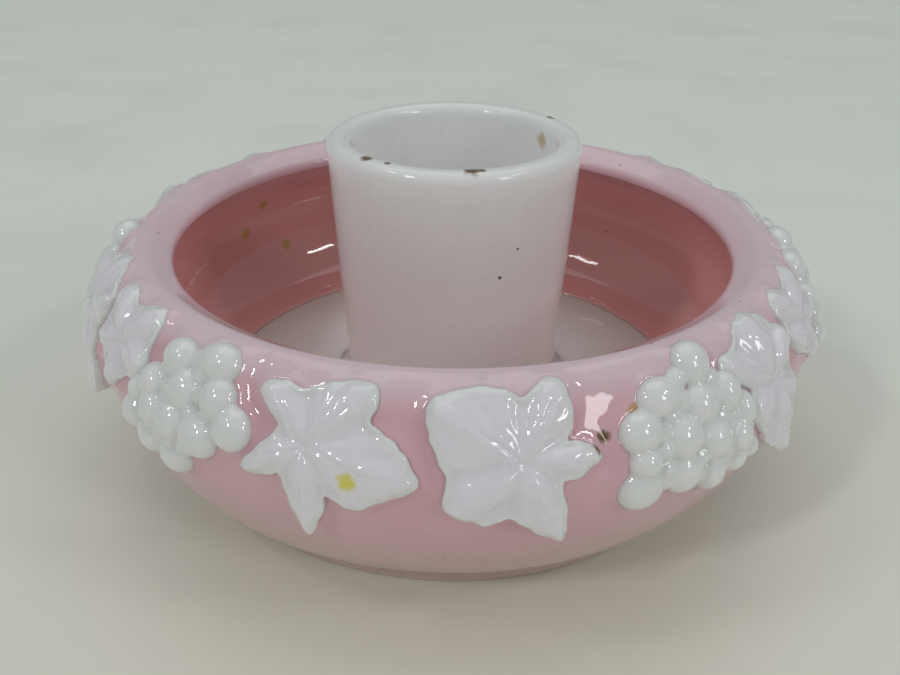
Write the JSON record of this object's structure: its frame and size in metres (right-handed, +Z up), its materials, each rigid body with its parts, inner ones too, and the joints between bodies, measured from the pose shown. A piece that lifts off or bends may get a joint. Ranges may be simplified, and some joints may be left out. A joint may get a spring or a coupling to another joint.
{
  "type": "candlestick",
  "caption": "Squat round milk-glass candlestick: an incurved bowl with a central taper socket and a moulded band of vine leaves and grape bunches.",
  "frame": {"origin": "centre of the foot, on the surface that the piece stands on", "axes": "+Z is up along the socket's axis; the front, between a star leaf and a broad leaf, faces -Y"},
  "size_m": [0.0832, 0.082, 0.0364],
  "materials": {
    "pink_glass": "opaque pink milk glass, fire-polished gloss",
    "milk_glass_base": "opaque white milk glass, fire-polished gloss",
    "milk_glass_leaf": "opaque white milk glass, fire-polished gloss",
    "milk_glass_grape": "opaque white milk glass, fire-polished gloss"
  },
  "bodies": {
    "root": {"bowl": "pink_glass", "floor_disc": "milk_glass_base", "candle_socket": "milk_glass_base", "grapes_a_1": "milk_glass_grape", "grapes_a_2": "milk_glass_grape", "grapes_a_3": "milk_glass_grape", "leaf_star_1": "milk_glass_leaf", "leaf_star_2": "milk_glass_leaf", "leaf_star_3": "milk_glass_leaf", "leaf_broad_1": "milk_glass_leaf", "leaf_broad_2": "milk_glass_leaf", "leaf_broad_3": "milk_glass_leaf", "grapes_b_1": "milk_glass_grape", "grapes_b_2": "milk_glass_grape", "grapes_b_3": "milk_glass_grape", "leaf_tall_1": "milk_glass_leaf", "leaf_tall_2": "milk_glass_leaf", "leaf_tall_3": "milk_glass_leaf", "leaf_low_1": "milk_glass_leaf", "leaf_low_2": "milk_glass_leaf", "leaf_low_3": "milk_glass_leaf"}
  },
  "joints": []
}
